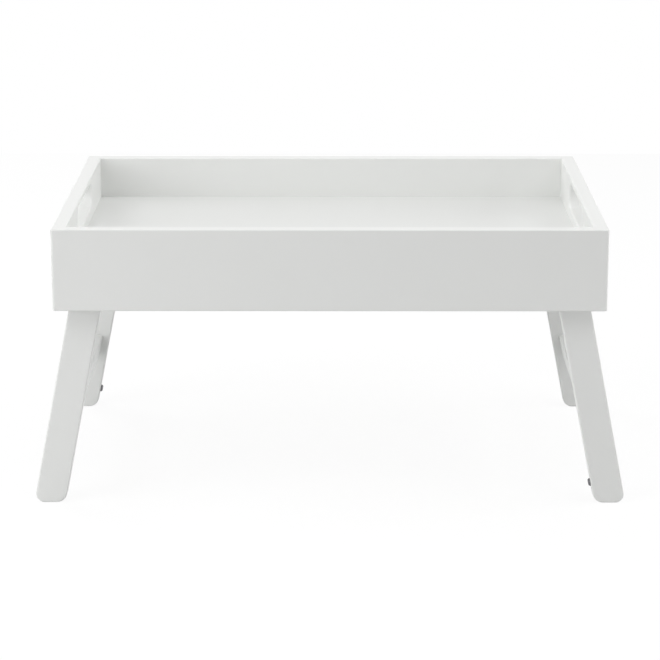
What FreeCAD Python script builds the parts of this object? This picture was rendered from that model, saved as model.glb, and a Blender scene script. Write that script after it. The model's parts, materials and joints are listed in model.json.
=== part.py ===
"""Bed tray table: a lacquered tray with hand-holes on two folding leg frames.

Millimetres and degrees. The origin is on the ground under the middle of the tray, X runs
along its long side, Y from its front to its rear and Z up. The legs are drawn open.

The two leg frames are the same piece, the left one turned half a turn about Z. So a
side is the sign of X and an end the sign of Y, and what the right frame has on its
front leg the left frame has on its rear leg.
"""
import FreeCAD
import Part
import Sketcher

import os
from functools import partial

SIZES = {
    # Tray: four boards round a floor panel, which lies in a groove of each.
    "tray_length": 500,
    "tray_depth": 360,
    "well_depth": 40,
    "board_thickness": 13.5,
    "panel_thickness": 4,
    "groove_depth": 5,
    "panel_gap": 0.3,
    "corner_radius": 2.5,
    "edge_radius": 1.2,
    # Hand-hole in each end board: a slot with round ends, below the rim.
    "hand_hole_length": 140,
    "hand_hole_height": 24,
    "hand_hole_drop": 6,
    "hand_hole_rounding": 2,
    # Corner joints: the end boards butt against the long boards and are dowelled.
    "dowel_diameter": 6,
    "dowel_cover": 4,
    "dowel_in_end_board": 19,
    "dowel_inset": 14,
    "dowel_end_gap": 0.5,
    # Legs.
    "leg_width": 28.4,
    "leg_thickness": 14,
    "leg_tilt": 11.2,
    "leg_rounding": 1.5,
    "foot_inner_radius": 10,
    "foot_outer_radius": 8,
    # Fit of the folded frames: end to end under the tray, inside its walls.
    "feet_gap": 24,
    "fold_margin": 0.3,
    "stop_gap": 0.1,
    # Crossbar between the two legs of a frame.
    "bar_height": 20.5,
    "bar_thickness": 13,
    "bar_from_sole": 69.5,
    "bar_rounding": 1.5,
    "bar_dowel_diameter": 5,
    "bar_dowel_spacing": 10,
    "bar_dowel_cover": 4.5,
    "bar_dowel_in_bar": 12,
    # Pivots: a shoulder bolt through each leg into a threaded insert.
    "shoulder_diameter": 8,
    "thread_diameter": 6,
    "thread_end_gap": 1,
    "head_diameter": 13,
    "head_height": 3,
    "head_rounding": 0.8,
    "key_width": 4,
    "key_depth": 2,
    "insert_wall": 1.75,
    "insert_cover": 2.5,
    "insert_end_gap": 0.5,
    "spacer_diameter": 18,
    "spacer_thickness": 1,
    "washer_diameter": 16,
    "washer_thickness": 1.2,
    "washer_bore_gap": 0.1,
    "bush_wall": 1.5,
    "running_gap": 0.05,
    "side_play": 0.1,
    # Catch: a screw head in one leg of each frame, and a magnet in the floor panel.
    "catch_from_sole": 21.3,
    "catch_gap": 0.1,
    "catch_head_diameter": 7.4,
    "catch_head_height": 2.2,
    "catch_head_rounding": 0.9,
    "catch_shank_diameter": 3.5,
    "catch_shank_length": 16,
    "recess_span": 4,
    "recess_width": 1.1,
    "recess_depth": 1.2,
    "magnet_diameter": 10,
    "magnet_cover": 1.5,
}

LAYOUT = {
    "half_length": "Sizes.tray_length / 2",
    "half_depth": "Sizes.tray_depth / 2",
    "inner_half_length": "half_length - Sizes.board_thickness",
    "inner_half_depth": "half_depth - Sizes.board_thickness",
    # Under the panel the walls are deep enough for a folded leg and its catch.
    "catch_depth": "Sizes.catch_head_height + Sizes.catch_gap",
    "fold_depth": "Sizes.fold_margin + Sizes.leg_width + catch_depth",
    "wall_height": "Sizes.well_depth + Sizes.panel_thickness + fold_depth",
    "pivot_rise": "Sizes.fold_margin + Sizes.leg_width / 2",
    # The open leg's outer edge rests on the rounded lower inner edge of the end board.
    "stop_rounding": "Sizes.edge_radius * (1 - cos(Sizes.leg_tilt) - sin(Sizes.leg_tilt))",
    "stop_span": "Sizes.leg_width / 2 + Sizes.stop_gap + stop_rounding",
    "stop_reach": "(stop_span + pivot_rise * sin(Sizes.leg_tilt)) / cos(Sizes.leg_tilt)",
    "pivot_x": "inner_half_length - stop_reach",
    # The legs are as long as two folded frames allow, and their soles are level when open.
    "sole_rise": "Sizes.leg_width / 2 * tan(Sizes.leg_tilt)",
    "leg_length": "pivot_x - Sizes.feet_gap / 2 - sole_rise",
    "pivot_height": "leg_length * cos(Sizes.leg_tilt)",
    "wall_bottom": "pivot_height - pivot_rise",
    "rim_height": "wall_bottom + wall_height",
    "panel_top": "rim_height - Sizes.well_depth",
    "panel_bottom": "panel_top - Sizes.panel_thickness",
    "panel_half_length": "inner_half_length + Sizes.groove_depth - Sizes.panel_gap",
    "panel_half_depth": "inner_half_depth + Sizes.groove_depth - Sizes.panel_gap",
    "hand_hole_middle": "rim_height - Sizes.hand_hole_drop - Sizes.hand_hole_height / 2",
    "dowel_x": "half_length - Sizes.board_thickness / 2",
    "upper_dowel_z": "rim_height - Sizes.dowel_inset",
    "lower_dowel_z": "wall_bottom + Sizes.dowel_inset",
    "dowel_in_long_board": "Sizes.board_thickness - Sizes.dowel_cover - Sizes.dowel_end_gap",
    "dowel_length": "dowel_in_long_board + Sizes.dowel_in_end_board",
    # Across the tray, from a long board to its middle: spacer, leg, washer.
    "leg_outer_y": "inner_half_depth - Sizes.spacer_thickness - Sizes.side_play",
    "leg_inner_y": "leg_outer_y - Sizes.leg_thickness",
    "leg_middle_y": "leg_outer_y - Sizes.leg_thickness / 2",
    "shoulder_end": "inner_half_depth - leg_inner_y + Sizes.side_play + Sizes.washer_thickness",
    "washer_bore": "Sizes.shoulder_diameter + 2 * Sizes.washer_bore_gap",
    "bush_bore": "Sizes.shoulder_diameter + 2 * Sizes.running_gap",
    "bush_diameter": "bush_bore + 2 * Sizes.bush_wall",
    "insert_diameter": "Sizes.thread_diameter + 2 * Sizes.insert_wall",
    "insert_hole_depth": "Sizes.board_thickness - Sizes.insert_cover",
    "insert_length": "insert_hole_depth - Sizes.insert_end_gap",
    "thread_length": "insert_length - Sizes.thread_end_gap",
    # Along a leg, from its pivot: the crossbar, then the catch.
    "bar_distance": "leg_length - Sizes.bar_from_sole",
    "bar_dowel_in_leg": "Sizes.leg_thickness - Sizes.bar_dowel_cover - Sizes.dowel_end_gap",
    "catch_distance": "leg_length - Sizes.catch_from_sole",
    "magnet_x": "pivot_x - catch_distance",
    "magnet_thickness": "Sizes.panel_thickness - Sizes.magnet_cover",
}

SIDES = {"left": -1, "right": 1}
ENDS = {"front": -1, "rear": 1}
X_AXIS = FreeCAD.Vector(1, 0, 0)
Y_AXIS = FreeCAD.Vector(0, 1, 0)
Z_AXIS = FreeCAD.Vector(0, 0, 1)
QUARTER_TURN = 90
FULL_TURN = 360
SOCKET_SIDES = 6
FINE = 0.001
# How a sketch numbers its two axes, -2 and -1, and the points of a line or an arc, 1 to 3.
UPRIGHT_AXIS, LEVEL_AXIS = range(-2, 0)
START, END, MIDDLE = range(1, 4)

doc = FreeCAD.newDocument("bed_tray_table")


# Sheets and bindings

def fill_sheet(name, cells):
    """Write one row for each size: its name in column A, its content in column B."""
    sheet = doc.addObject("Spreadsheet::Sheet", name)
    for row, (alias, content) in enumerate(cells.items(), start=1):
        sheet.set(f"A{row}", alias)
        sheet.set(f"B{row}", content)
        sheet.setAlias(f"B{row}", alias)
    doc.recompute()


def number(formula):
    """The present value of a formula in the sheets' sizes."""
    return float(doc.Layout.evalExpression(formula))


def bind(item, formulas):
    """Tie properties of an item to formulas in the sheets' sizes."""
    for path, formula in formulas.items():
        item.setExpression(path, formula)


def place(item, x="0", y="0", z="0", axis=Z_AXIS, angle=0):
    """Set an item at a bound position, turned by a fixed angle."""
    item.Placement = FreeCAD.Placement(FreeCAD.Vector(), FreeCAD.Rotation(axis, angle))
    bind(item, {"Placement.Base.x": x, "Placement.Base.y": y, "Placement.Base.z": z})


def place_in_frame(item, side):
    """Hang an item, drawn on an upright leg frame, on that side's pivots, splayed."""
    outward = Y_AXIS * -side
    tilt = number("Sizes.leg_tilt")
    place(item, x=f"{side} * Layout.pivot_x", z="Layout.pivot_height", axis=outward, angle=tilt)
    bind(item, {"Placement.Rotation.Angle": "Sizes.leg_tilt"})


# Sketches

def new_sketch(body, name, plane, offset="0"):
    """Start a sketch on a plane through the body's origin, moved along its normal.

    The normals are +Z on XY_Plane, +X on YZ_Plane and -Y on XZ_Plane.
    """
    sketch = body.newObject("Sketcher::SketchObject", f"{body.Name}_{name}_sketch")
    support = next(item for item in body.Origin.OriginFeatures if item.Role == plane)
    sketch.AttachmentSupport = [(support, "")]
    sketch.MapMode = "FlatFace"
    bind(sketch, {"AttachmentOffset.Base.z": offset})
    return sketch


def pin(sketch, geometry, point, x, y):
    """Hold a point of a sketch at bound coordinates, or on an axis where one is nil."""
    for kind, axis, formula in (("DistanceX", UPRIGHT_AXIS, x), ("DistanceY", LEVEL_AXIS, y)):
        value = number(formula)
        if abs(value) < FINE:
            sketch.addConstraint(Sketcher.Constraint("PointOnObject", geometry, point, axis))
            continue
        ends = (LEVEL_AXIS, START, geometry, point)
        index = sketch.addConstraint(Sketcher.Constraint(kind, *ends, value))
        name = f"{kind}_{geometry}_{point}"
        sketch.renameConstraint(index, name)
        bind(sketch, {f"Constraints.{name}": formula})


def join(sketch, *ends, kind="Coincident"):
    """Tie two ends together, each given as a line or an arc and one of its points."""
    sketch.addConstraint(Sketcher.Constraint(kind, *ends))


def draw_polygon(sketch, corners):
    """Draw a closed polygon through corners given as pairs of formulas."""
    points = [FreeCAD.Vector(number(x), number(y), 0) for x, y in corners]
    lines = [Part.LineSegment(*ends) for ends in zip(points, points[1:] + points[:1])]
    sketch.addGeometry(lines, False)
    for index, (x, y) in enumerate(corners):
        join(sketch, index, END, (index + 1) % len(corners), START)
        pin(sketch, index, START, x, y)


def draw_rectangle(sketch, low_x, low_y, high_x, high_y):
    """Draw a rectangle between two corners."""
    draw_polygon(sketch, [(low_x, low_y), (high_x, low_y), (high_x, high_y), (low_x, high_y)])


def draw_circle(sketch, x, y, diameter):
    """Draw a circle with a bound middle and diameter."""
    middle = FreeCAD.Vector(number(x), number(y), 0)
    geometry = sketch.addGeometry(Part.Circle(middle, Z_AXIS, number(diameter) / 2), False)
    pin(sketch, geometry, MIDDLE, x, y)
    index = sketch.addConstraint(Sketcher.Constraint("Diameter", geometry, number(diameter)))
    sketch.renameConstraint(index, f"Diameter_{geometry}")
    bind(sketch, {f"Constraints.Diameter_{geometry}": diameter})


def draw_slot(sketch, length, height, middle):
    """Draw a slot with half-round ends, centred on the sketch's upright axis."""
    radius = number(height) / 2
    half_run = number(length) / 2 - radius
    level = number(middle)
    upper = [FreeCAD.Vector(x, level + radius, 0) for x in (-half_run, half_run)]
    lower = [FreeCAD.Vector(x, level - radius, 0) for x in (half_run, -half_run)]
    right_tip = FreeCAD.Vector(half_run + radius, level, 0)
    left_tip = FreeCAD.Vector(-half_run - radius, level, 0)
    top = sketch.addGeometry(Part.LineSegment(*upper), False)
    right = sketch.addGeometry(Part.Arc(upper[1], right_tip, lower[0]), False)
    bottom = sketch.addGeometry(Part.LineSegment(*lower), False)
    left = sketch.addGeometry(Part.Arc(lower[1], left_tip, upper[0]), False)
    join(sketch, top, END, right, END, kind="Tangent")
    join(sketch, right, START, bottom, START, kind="Tangent")
    join(sketch, bottom, END, left, END, kind="Tangent")
    join(sketch, left, START, top, START, kind="Tangent")
    sketch.addConstraint(Sketcher.Constraint("Horizontal", top))
    pin(sketch, right, MIDDLE, f"({length} - {height}) / 2", middle)
    pin(sketch, left, MIDDLE, f"({height} - {length}) / 2", middle)
    index = sketch.addConstraint(Sketcher.Constraint("Radius", right, radius))
    sketch.renameConstraint(index, "end_radius")
    bind(sketch, {"Constraints.end_radius": f"{height} / 2"})


# Features

def new_body(name, stock=None):
    """Start a body, empty or from a piece of stock."""
    body = doc.addObject("PartDesign::Body", name)
    if stock:
        body.BaseFeature = stock
        doc.recompute()
    return body


def pad(body, name, sketch, length, midplane=False):
    """Raise a sketch into a solid."""
    feature = body.newObject("PartDesign::Pad", f"{body.Name}_{name}")
    feature.Profile = sketch
    feature.Midplane = midplane
    bind(feature, {"Length": length})
    doc.recompute()


def cut(body, name, sketch, depth=None, along_normal=False):
    """Cut a sketch into a body, to a depth or right through, and see that it cut."""
    before = body.Tip.Shape.Volume
    feature = body.newObject("PartDesign::Pocket", f"{body.Name}_{name}")
    feature.Profile = sketch
    if depth:
        feature.Reversed = along_normal
        bind(feature, {"Length": depth})
    else:
        feature.Type = "ThroughAll"
        feature.Midplane = True
    doc.recompute()
    if feature.Shape.Volume > before - FINE:
        raise RuntimeError(f"{feature.Name} cuts nothing")


def revolve(body, name, sketch, axis):
    """Turn a half profile once round an axis of its sketch."""
    feature = body.newObject("PartDesign::Revolution", f"{body.Name}_{name}")
    feature.Profile = sketch
    feature.ReferenceAxis = (sketch, [axis])
    doc.recompute()


def round_edges(body, name, radius, chosen):
    """Round the edges of a body that a test picks out."""
    base = body.Tip
    numbered = enumerate(base.Shape.Edges, start=1)
    edges = [f"Edge{index}" for index, edge in numbered if chosen(edge)]
    feature = body.newObject("PartDesign::Fillet", f"{body.Name}_{name}")
    feature.Base = (base, edges)
    bind(feature, {"Radius": radius})
    doc.recompute()


def is_level(edge):
    """Whether an edge stays at one height."""
    return edge.BoundBox.ZLength < FINE


def is_upright(edge):
    """Whether an edge runs straight up."""
    return edge.BoundBox.XLength < FINE and edge.BoundBox.YLength < FINE


def runs_across(edge):
    """Whether an edge runs straight along Y."""
    return edge.BoundBox.XLength < FINE and edge.BoundBox.ZLength < FINE


def has_one_depth(edge):
    """Whether an edge stays at one Y."""
    return edge.BoundBox.YLength < FINE


def cylinder(name, diameter, length):
    """A cylinder that stands on its own origin."""
    item = doc.addObject("Part::Cylinder", name)
    bind(item, {"Radius": f"({diameter}) / 2", "Height": length})
    return item


def ring(name, diameter, bore, length):
    """A ring that stands on its own origin."""
    item = doc.addObject("Part::Cut", name)
    item.Base = cylinder(f"{name}_outside", diameter, length)
    item.Tool = cylinder(f"{name}_bore", bore, length)
    return item


def group(name, items):
    """Several like pieces under one name."""
    compound = doc.addObject("Part::Compound", name)
    compound.Links = items
    return compound


# Tray

def wall_ring():
    """The four walls in one, rounded as they are sanded after the glue-up."""
    body = new_body("wall_ring")
    outline = new_sketch(body, "outline", "XY_Plane", "Layout.wall_bottom")
    low = ("-Layout.half_length", "-Layout.half_depth")
    high = ("Layout.half_length", "Layout.half_depth")
    draw_rectangle(outline, *low, *high)
    pad(body, "walls", outline, "Layout.wall_height")
    round_edges(body, "corners", "Sizes.corner_radius", is_upright)
    well = new_sketch(body, "well", "XY_Plane", "Layout.wall_bottom")
    low = ("-Layout.inner_half_length", "-Layout.inner_half_depth")
    high = ("Layout.inner_half_length", "Layout.inner_half_depth")
    draw_rectangle(well, *low, *high)
    cut(body, "opening", well)
    round_edges(body, "arrises", "Sizes.edge_radius", is_level)
    return body


def part_off(name, walls, low_x, low_y, length, depth):
    """The stretch of the wall ring that one board takes up."""
    region = doc.addObject("Part::Box", f"{name}_region")
    place(region, x=low_x, y=low_y, z="Layout.wall_bottom")
    bind(region, {"Length": length, "Width": depth, "Height": "Layout.wall_height"})
    stock = doc.addObject("Part::Common", f"{name}_stock")
    stock.Base = walls
    stock.Tool = region
    doc.recompute()
    return stock


def drill_for_dowels(body, name, sides, face, depth, along_normal):
    """Bore the holes of the corner dowels from a board's face."""
    holes = new_sketch(body, name, "XZ_Plane", face)
    circles = [(side, level) for side in sides for level in ("lower", "upper")]
    for side, level in circles:
        middle = (f"{side} * Layout.dowel_x", f"Layout.{level}_dowel_z")
        draw_circle(holes, *middle, "Sizes.dowel_diameter")
    cut(body, name, holes, f"{depth} + Sizes.dowel_end_gap", along_normal)


def long_board(end_name, walls):
    """Front or rear board: grooved, and bored for dowels and pivot inserts."""
    end = ENDS[end_name]
    low_y = "-Layout.half_depth" if end < 0 else "Layout.inner_half_depth"
    name = f"{end_name}_board"
    spans = ("Sizes.tray_length", "Sizes.board_thickness")
    body = new_body(name, part_off(name, walls, "-Layout.half_length", low_y, *spans))
    face = f"{-end} * Layout.inner_half_depth"
    outward = end < 0
    groove = new_sketch(body, "groove", "XZ_Plane", face)
    groove_end = "(Layout.inner_half_length + Sizes.groove_depth)"
    draw_rectangle(groove, f"-{groove_end}", "Layout.panel_bottom", groove_end, "Layout.panel_top")
    cut(body, "groove", groove, "Sizes.groove_depth", outward)
    inserts = new_sketch(body, "insert_holes", "XZ_Plane", face)
    for side in SIDES.values():
        middle = (f"{side} * Layout.pivot_x", "Layout.pivot_height")
        draw_circle(inserts, *middle, "Layout.insert_diameter")
    cut(body, "insert_holes", inserts, "Layout.insert_hole_depth", outward)
    drill_for_dowels(body, "dowel_holes", SIDES.values(), face, "Layout.dowel_in_long_board", outward)
    return body


def end_board(side_name, walls):
    """Left or right board: grooved, bored for dowels, with its rounded hand-hole."""
    side = SIDES[side_name]
    low_x = "-Layout.half_length" if side < 0 else "Layout.inner_half_length"
    name = f"{side_name}_end_board"
    spans = ("Sizes.board_thickness", "2 * Layout.inner_half_depth")
    body = new_body(name, part_off(name, walls, low_x, "-Layout.inner_half_depth", *spans))
    groove = new_sketch(body, "groove", "YZ_Plane", f"{side} * Layout.inner_half_length")
    low = ("-Layout.inner_half_depth", "Layout.panel_bottom")
    high = ("Layout.inner_half_depth", "Layout.panel_top")
    draw_rectangle(groove, *low, *high)
    cut(body, "groove", groove, "Sizes.groove_depth", side > 0)
    for end_name, end in ENDS.items():
        face = f"{-end} * Layout.inner_half_depth"
        holes = f"{end_name}_dowel_holes"
        drill_for_dowels(body, holes, [side], face, "Sizes.dowel_in_end_board", end > 0)
    hole = new_sketch(body, "hand_hole", "YZ_Plane")
    draw_slot(hole, "Sizes.hand_hole_length", "Sizes.hand_hole_height", "Layout.hand_hole_middle")
    half_slot = number("Sizes.hand_hole_length / 2") + FINE
    low_slot = number("Layout.hand_hole_middle - Sizes.hand_hole_height / 2") - FINE
    high_slot = number("Layout.hand_hole_middle + Sizes.hand_hole_height / 2") + FINE

    def rims_hand_hole(edge):
        """Whether an edge lies in a face of the board, on the hand-hole's outline."""
        bounds = edge.BoundBox
        in_width = -half_slot < bounds.YMin and bounds.YMax < half_slot
        in_height = low_slot < bounds.ZMin and bounds.ZMax < high_slot
        return bounds.XLength < FINE and in_width and in_height

    cut(body, "hand_hole", hole)
    round_edges(body, "hand_hole_rounding", "Sizes.hand_hole_rounding", rims_hand_hole)
    return body


def floor_panel():
    """The panel in the boards' grooves, with two magnet beds in its underside."""
    body = new_body("floor_panel")
    outline = new_sketch(body, "outline", "XY_Plane", "Layout.panel_bottom")
    low = ("-Layout.panel_half_length", "-Layout.panel_half_depth")
    high = ("Layout.panel_half_length", "Layout.panel_half_depth")
    draw_rectangle(outline, *low, *high)
    pad(body, "panel", outline, "Sizes.panel_thickness")
    beds = new_sketch(body, "magnet_beds", "XY_Plane", "Layout.panel_bottom")
    for side in SIDES.values():
        middle = (f"{side} * Layout.magnet_x", f"{-side} * Layout.leg_middle_y")
        draw_circle(beds, *middle, "Sizes.magnet_diameter")
    cut(body, "magnet_beds", beds, "Layout.magnet_thickness", True)
    return body


def corner_dowels():
    """Two dowels in each corner joint, across the end of the end board."""
    dowels = []
    for end_name, end in ENDS.items():
        for side_name, side in SIDES.items():
            for level in ("lower", "upper"):
                name = f"{end_name}_{side_name}_{level}_dowel"
                dowel = cylinder(name, "Sizes.dowel_diameter", "Layout.dowel_length")
                inner_end = f"{end} * (Layout.inner_half_depth - Sizes.dowel_in_end_board)"
                spot = (f"{side} * Layout.dowel_x", inner_end, f"Layout.{level}_dowel_z")
                place(dowel, *spot, axis=X_AXIS, angle=-QUARTER_TURN * end)
                dowels.append(dowel)
    return group("corner_dowels", dowels)


def catch_magnet(side_name):
    """The disc magnet over the catch screw of one folded frame."""
    side = SIDES[side_name]
    name = f"{side_name}_catch_magnet"
    magnet = cylinder(name, "Sizes.magnet_diameter", "Layout.magnet_thickness")
    spot = (f"{side} * Layout.magnet_x", f"{-side} * Layout.leg_middle_y", "Layout.panel_bottom")
    place(magnet, *spot)
    return magnet


# Pivots, drawn upright on the inner face of a long board, towards the tray's middle

def place_at_pivot(item, side, end, depth="0"):
    """Set an item on a pivot's axis, so far in from the long board's inner face."""
    start = f"{end} * (Layout.inner_half_depth - ({depth}))"
    spot = (f"{side} * Layout.pivot_x", start, "Layout.pivot_height")
    place(item, *spot, axis=X_AXIS, angle=QUARTER_TURN * end)
    return item


def pivot_bolt(name):
    """A shoulder bolt: thread, plain shoulder, low head with a hexagon socket."""
    body = new_body(name)
    thread = "Sizes.thread_diameter / 2"
    shoulder = "Sizes.shoulder_diameter / 2"
    head = "Sizes.head_diameter / 2"
    head_top = "Layout.shoulder_end + Sizes.head_height"
    profile = new_sketch(body, "profile", "XZ_Plane")
    thread_end = "-Layout.thread_length"
    steps = [("0", thread_end), (thread, thread_end), (thread, "0"), (shoulder, "0")]
    steps += [(shoulder, "Layout.shoulder_end"), (head, "Layout.shoulder_end")]
    steps += [(head, head_top), ("0", head_top)]
    draw_polygon(profile, steps)
    revolve(body, "shank", profile, "V_Axis")
    top = number(head_top) - FINE
    round_edges(body, "head_rounding", "Sizes.head_rounding", lambda edge: edge.BoundBox.ZMin > top)
    socket = new_sketch(body, "socket", "XY_Plane", head_top)
    corner_radius = "Sizes.key_width / sqrt(3)"
    turns = [FULL_TURN / SOCKET_SIDES * corner for corner in range(SOCKET_SIDES)]
    corners = [(f"{corner_radius} * cos({turn})", f"{corner_radius} * sin({turn})") for turn in turns]
    draw_polygon(socket, corners)
    cut(body, "socket", socket, "Sizes.key_depth")
    return body


def pivot_sets():
    """Inserts, bolts, spacers and washers of the four pivots, like with like."""
    sets = {"pivot_inserts": [], "pivot_bolts": [], "pivot_spacers": [], "pivot_washers": []}
    rings = {
        "pivot_inserts": ("Layout.insert_diameter", "Sizes.thread_diameter", "Layout.insert_length"),
        "pivot_spacers": ("Sizes.spacer_diameter", "Layout.washer_bore", "Sizes.spacer_thickness"),
        "pivot_washers": ("Sizes.washer_diameter", "Layout.washer_bore", "Sizes.washer_thickness"),
    }
    starts = {
        "pivot_inserts": "-Layout.insert_length",
        "pivot_spacers": "0",
        "pivot_washers": "Layout.shoulder_end - Sizes.washer_thickness",
    }
    for end_name, end in ENDS.items():
        for side_name, side in SIDES.items():
            corner = f"{end_name}_{side_name}"
            bolt = pivot_bolt(f"{corner}_pivot_bolt")
            sets["pivot_bolts"].append(place_at_pivot(bolt, side, end))
            for kind, spans in rings.items():
                item = ring(f"{corner}_{kind}", *spans)
                sets[kind].append(place_at_pivot(item, side, end, starts[kind]))
    return [group(name, items) for name, items in sets.items()]


# Leg frames, drawn upright round the pivot axis and then hung splayed on their side

def draw_leg(sketch, side):
    """Draw a leg: straight sides, a half-round top about the pivot and a slanting sole."""
    inner_x = f"{-side} * Sizes.leg_width / 2"
    outer_x = f"{side} * Sizes.leg_width / 2"
    inner_foot = "Layout.sole_rise - Layout.leg_length"
    outer_foot = "-Layout.sole_rise - Layout.leg_length"
    inner_top = (inner_x, "0")
    outer_top = (outer_x, "0")
    feet = [(inner_x, inner_foot), (outer_x, outer_foot)]
    points = [FreeCAD.Vector(number(x), number(y), 0) for x, y in (inner_top, *feet, outer_top)]
    inner, sole, outer = (
        sketch.addGeometry(Part.LineSegment(*ends), False) for ends in zip(points, points[1:])
    )
    crown = FreeCAD.Vector(0, number("Sizes.leg_width") / 2, 0)
    arc = sketch.addGeometry(Part.Arc(points[-1], crown, points[0]), False)
    arc_start, arc_end = (START, END) if side > 0 else (END, START)
    join(sketch, inner, END, sole, START)
    join(sketch, sole, END, outer, START)
    join(sketch, outer, END, arc, arc_start)
    join(sketch, arc, arc_end, inner, START)
    join(sketch, arc, MIDDLE, LEVEL_AXIS, START)
    join(sketch, outer, END, LEVEL_AXIS, kind="PointOnObject")
    for geometry, (x, y) in zip((inner, sole, outer), (inner_top, *feet)):
        pin(sketch, geometry, START, x, y)


def leg(side_name, end_name):
    """One leg, bored for its bush, the crossbar's dowels and, on one leg, the catch."""
    side = SIDES[side_name]
    end = ENDS[end_name]
    body = new_body(f"{side_name}_{end_name}_leg")
    outline = new_sketch(body, "outline", "XZ_Plane", f"{-end} * Layout.leg_middle_y")
    draw_leg(outline, side)
    pad(body, "leg", outline, "Sizes.leg_thickness", midplane=True)
    knee = number("-Layout.leg_length / 2")

    def is_foot_corner(edge, sign):
        """Whether an edge is a lower corner of the leg, on the side of that sign."""
        middle = edge.BoundBox.Center
        return runs_across(edge) and middle.z < knee and middle.x * sign > 0

    for name, sign in (("inner", -side), ("outer", side)):
        corner = partial(is_foot_corner, sign=sign)
        round_edges(body, f"foot_{name}_corner", f"Sizes.foot_{name}_radius", corner)
    round_edges(body, "arrises", "Sizes.leg_rounding", has_one_depth)
    bush_hole = new_sketch(body, "bush_hole", "XZ_Plane")
    draw_circle(bush_hole, "0", "0", "Layout.bush_diameter")
    cut(body, "bush_hole", bush_hole)
    face = f"{-end} * Layout.leg_inner_y"
    drill_for_bar(body, "bar_holes", face, "Layout.bar_dowel_in_leg", end < 0)
    if end == -side:
        pilot = new_sketch(body, "catch_hole", "YZ_Plane", f"{-side} * Sizes.leg_width / 2")
        middle = (f"{end} * Layout.leg_middle_y", "-Layout.catch_distance")
        draw_circle(pilot, *middle, "Sizes.catch_shank_diameter")
        cut(body, "catch_hole", pilot, "Sizes.catch_shank_length", side > 0)
    place_in_frame(body, side)
    return body


def drill_for_bar(body, name, face, depth, along_normal):
    """Bore the two dowel holes of one end of the crossbar from a face."""
    holes = new_sketch(body, name, "XZ_Plane", face)
    for sign in (-1, 1):
        level = f"{sign} * Sizes.bar_dowel_spacing / 2 - Layout.bar_distance"
        draw_circle(holes, "0", level, "Sizes.bar_dowel_diameter")
    cut(body, name, holes, f"{depth} + Sizes.dowel_end_gap", along_normal)


def crossbar(side_name):
    """The bar between the two legs of a frame, in the middle of their width."""
    body = new_body(f"{side_name}_crossbar")
    section = new_sketch(body, "section", "XZ_Plane")
    low = ("-Sizes.bar_thickness / 2", "-Layout.bar_distance - Sizes.bar_height / 2")
    high = ("Sizes.bar_thickness / 2", "-Layout.bar_distance + Sizes.bar_height / 2")
    draw_rectangle(section, *low, *high)
    pad(body, "bar", section, "2 * Layout.leg_inner_y", midplane=True)
    round_edges(body, "arrises", "Sizes.bar_rounding", runs_across)
    for end_name, end in ENDS.items():
        face = f"{-end} * Layout.leg_inner_y"
        drill_for_bar(body, f"{end_name}_holes", face, "Sizes.bar_dowel_in_bar", end > 0)
    place_in_frame(body, SIDES[side_name])
    return body


def crossbar_dowels(side_name):
    """Two dowels at each end of a crossbar."""
    dowels = []
    for end_name, end in ENDS.items():
        for level_name, sign in (("lower", -1), ("upper", 1)):
            length = "Layout.bar_dowel_in_leg + Sizes.bar_dowel_in_bar"
            name = f"{side_name}_{end_name}_{level_name}_bar_dowel"
            dowel = cylinder(name, "Sizes.bar_dowel_diameter", length)
            inner_end = f"{end} * (Layout.leg_inner_y - Sizes.bar_dowel_in_bar)"
            level = f"{sign} * Sizes.bar_dowel_spacing / 2 - Layout.bar_distance"
            place(dowel, y=inner_end, z=level, axis=X_AXIS, angle=-QUARTER_TURN * end)
            dowels.append(dowel)
    dowel_group = group(f"{side_name}_crossbar_dowels", dowels)
    place_in_frame(dowel_group, SIDES[side_name])
    return dowel_group


def pivot_bushes(side_name):
    """The bush in each leg of a frame, as long as the leg is thick."""
    bushes = []
    for end_name, end in ENDS.items():
        name = f"{side_name}_{end_name}_bush"
        bush = ring(name, "Layout.bush_diameter", "Layout.bush_bore", "Sizes.leg_thickness")
        place(bush, y=f"{end} * Layout.leg_outer_y", axis=X_AXIS, angle=QUARTER_TURN * end)
        bushes.append(bush)
    bush_group = group(f"{side_name}_pivot_bushes", bushes)
    place_in_frame(bush_group, SIDES[side_name])
    return bush_group


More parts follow.
